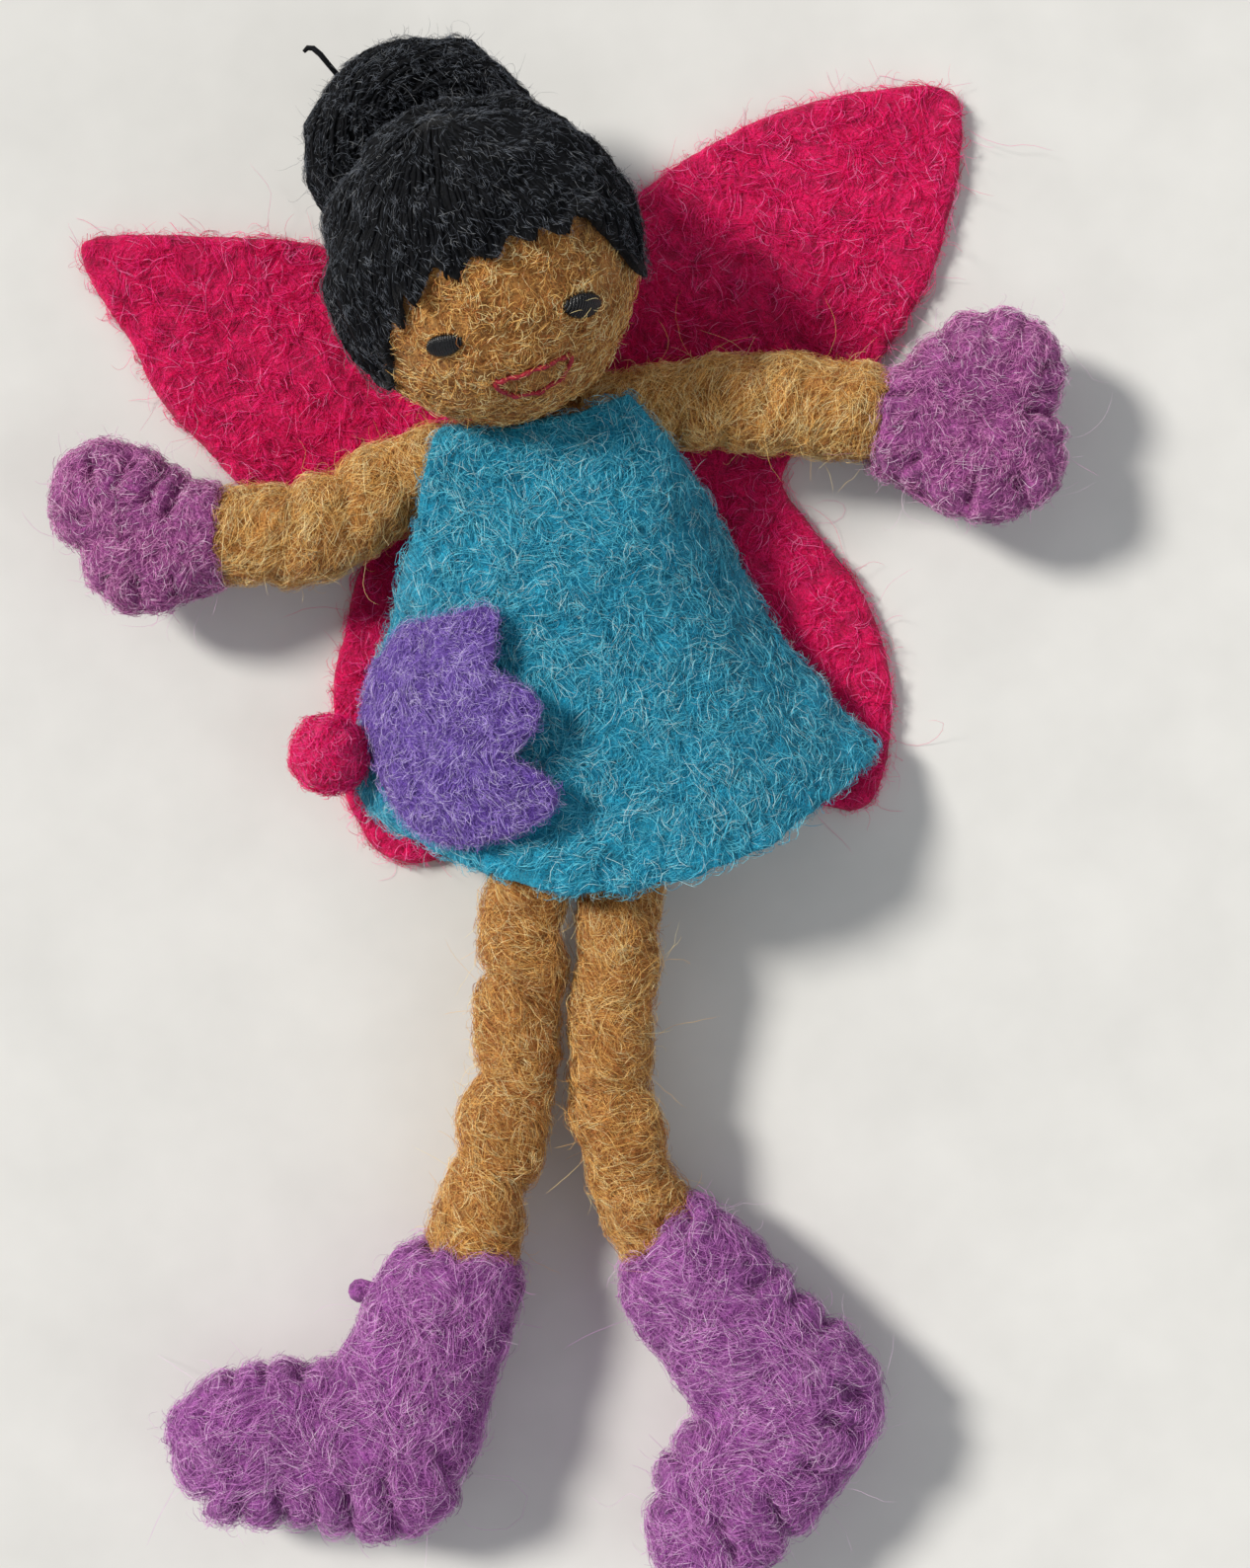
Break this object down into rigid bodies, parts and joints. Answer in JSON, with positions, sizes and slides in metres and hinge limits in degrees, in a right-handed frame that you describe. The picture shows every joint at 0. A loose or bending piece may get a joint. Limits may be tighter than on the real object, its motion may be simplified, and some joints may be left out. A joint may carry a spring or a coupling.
{
  "type": "bendy doll",
  "caption": "Felted wool fairy doll on bendable wire, in a flared felt dress with four-lobed wings, mittens, boots and a flower pocket bag.",
  "frame": {"origin": "on the flat underside of the wings, at the middle of the back", "axes": "+Y towards the head, +Z out of the chest, +X to the doll's left"},
  "size_m": [0.1394, 0.2043, 0.0449],
  "materials": {
    "tan_wool": "matte, needle-felted",
    "pink_felt": "matte, fuzzy",
    "turquoise_felt": "matte, fuzzy",
    "violet_felt": "matte, fuzzy",
    "lilac_felt": "matte, fuzzy",
    "black_yarn": "soft sheen",
    "red_thread": "soft sheen",
    "steel_wire": "bare"
  },
  "bodies": {
    "body": {"torso": "tan_wool", "spine_wire": "steel_wire", "shoulder_wire": "steel_wire", "dress_front": "turquoise_felt", "dress_back": "turquoise_felt", "wings": "pink_felt"},
    "neck": {"neck": "tan_wool", "neck_wire": "steel_wire"},
    "head": {"head": "tan_wool", "hair_cap": "black_yarn", "hair_bun": "black_yarn", "eye_left": "black_yarn", "eye_right": "black_yarn", "mouth": "red_thread"},
    "upper_arm_left": {"upper_arm_left": "tan_wool", "upper_arm_wire_left": "steel_wire"},
    "forearm_left": {"forearm_left": "tan_wool", "forearm_wire_left": "steel_wire"},
    "hand_left": {"mitten_front_left": "lilac_felt", "mitten_back_left": "lilac_felt"},
    "upper_arm_right": {"upper_arm_right": "tan_wool", "upper_arm_wire_right": "steel_wire"},
    "forearm_right": {"forearm_right": "tan_wool", "forearm_wire_right": "steel_wire"},
    "hand_right": {"mitten_front_right": "lilac_felt", "mitten_back_right": "lilac_felt"},
    "leg_top_left": {"leg_top_left": "tan_wool", "leg_top_wire_left": "steel_wire"},
    "thigh_left": {"thigh_left": "tan_wool", "thigh_wire_left": "steel_wire"},
    "shin_left": {"shin_left": "tan_wool", "shin_wire_left": "steel_wire"},
    "foot_left": {"boot_front_left": "lilac_felt", "boot_back_left": "lilac_felt"},
    "leg_top_right": {"leg_top_right": "tan_wool", "leg_top_wire_right": "steel_wire"},
    "thigh_right": {"thigh_right": "tan_wool", "thigh_wire_right": "steel_wire"},
    "shin_right": {"shin_right": "tan_wool", "shin_wire_right": "steel_wire"},
    "foot_right": {"boot_front_right": "lilac_felt", "boot_back_right": "lilac_felt"},
    "flower": {"flower_front": "violet_felt", "flower_back": "violet_felt", "flower_ball": "pink_felt"}
  },
  "joints": [
    {"name": "neck_lean", "type": "hinge", "parent": "body", "child": "neck", "pos_m": [0, 0.0186, 0.0118], "axis": [0, 0, 1], "range_deg": [-8, 8]},
    {"name": "head_turn", "type": "hinge", "parent": "neck", "child": "head", "pos_m": [0, 0.0186, 0.0118], "axis": [-0.1334, 0.8005, 0.5843], "range_deg": [-15, 15]},
    {"name": "shoulder_left", "type": "hinge", "parent": "body", "child": "upper_arm_left", "pos_m": [0.018, 0.0163, 0.0118], "axis": [0, 0, 1], "range_deg": [-15, 45]},
    {"name": "elbow_left", "type": "hinge", "parent": "upper_arm_left", "child": "forearm_left", "pos_m": [0.03144, 0.01422, 0.0118], "axis": [-0.153, -0.9882, 0], "range_deg": [0, 75]},
    {"name": "wrist_left", "type": "hinge", "parent": "forearm_left", "child": "hand_left", "pos_m": [0.04278, 0.01095, 0.0118], "axis": [0, 0, 1], "range_deg": [-25, 25]},
    {"name": "shoulder_right", "type": "hinge", "parent": "body", "child": "upper_arm_right", "pos_m": [-0.018, 0.0132, 0.0118], "axis": [0, 0, -1], "range_deg": [-15, 30]},
    {"name": "elbow_right", "type": "hinge", "parent": "upper_arm_right", "child": "forearm_right", "pos_m": [-0.03075, 0.00846, 0.0118], "axis": [-0.3486, 0.9373, 0], "range_deg": [0, 75]},
    {"name": "wrist_right", "type": "hinge", "parent": "forearm_right", "child": "hand_right", "pos_m": [-0.04246, 0.00986, 0.0118], "axis": [0, 0, -1], "range_deg": [-25, 25]},
    {"name": "leg_spread_left", "type": "hinge", "parent": "body", "child": "leg_top_left", "pos_m": [0.0047, -0.024, 0.0118], "axis": [0, 0, 1], "range_deg": [0, 12]},
    {"name": "hip_bend_left", "type": "hinge", "parent": "leg_top_left", "child": "thigh_left", "pos_m": [-0.00097, -0.04978, 0.0118], "axis": [-1, 0, 0], "range_deg": [0, 80]},
    {"name": "knee_left", "type": "hinge", "parent": "thigh_left", "child": "shin_left", "pos_m": [-0.00569, -0.06958, 0.01045], "axis": [1, 0, 0], "range_deg": [-70, 0]},
    {"name": "ankle_left", "type": "hinge", "parent": "shin_left", "child": "foot_left", "pos_m": [-0.00391, -0.08906, 0.00915], "axis": [0, 0, 1], "range_deg": [-15, 15]},
    {"name": "leg_spread_right", "type": "hinge", "parent": "body", "child": "leg_top_right", "pos_m": [-0.0077, -0.024, 0.0118], "axis": [0, 0, -1], "range_deg": [0, 12]},
    {"name": "hip_bend_right", "type": "hinge", "parent": "leg_top_right", "child": "thigh_right", "pos_m": [-0.01386, -0.04967, 0.0118], "axis": [-1, 0, 0], "range_deg": [0, 80]},
    {"name": "knee_right", "type": "hinge", "parent": "thigh_right", "child": "shin_right", "pos_m": [-0.01896, -0.06938, 0.01045], "axis": [1, 0, 0], "range_deg": [-70, 0]},
    {"name": "ankle_right", "type": "hinge", "parent": "shin_right", "child": "foot_right", "pos_m": [-0.02707, -0.08717, 0.00915], "axis": [0, 0, -1], "range_deg": [-15, 25]},
    {"name": "flower_lift", "type": "hinge", "parent": "body", "child": "flower", "pos_m": [-0.0346, -0.0208, 0.0116], "axis": [0, -1, 0], "range_deg": [0, 25]}
  ]
}
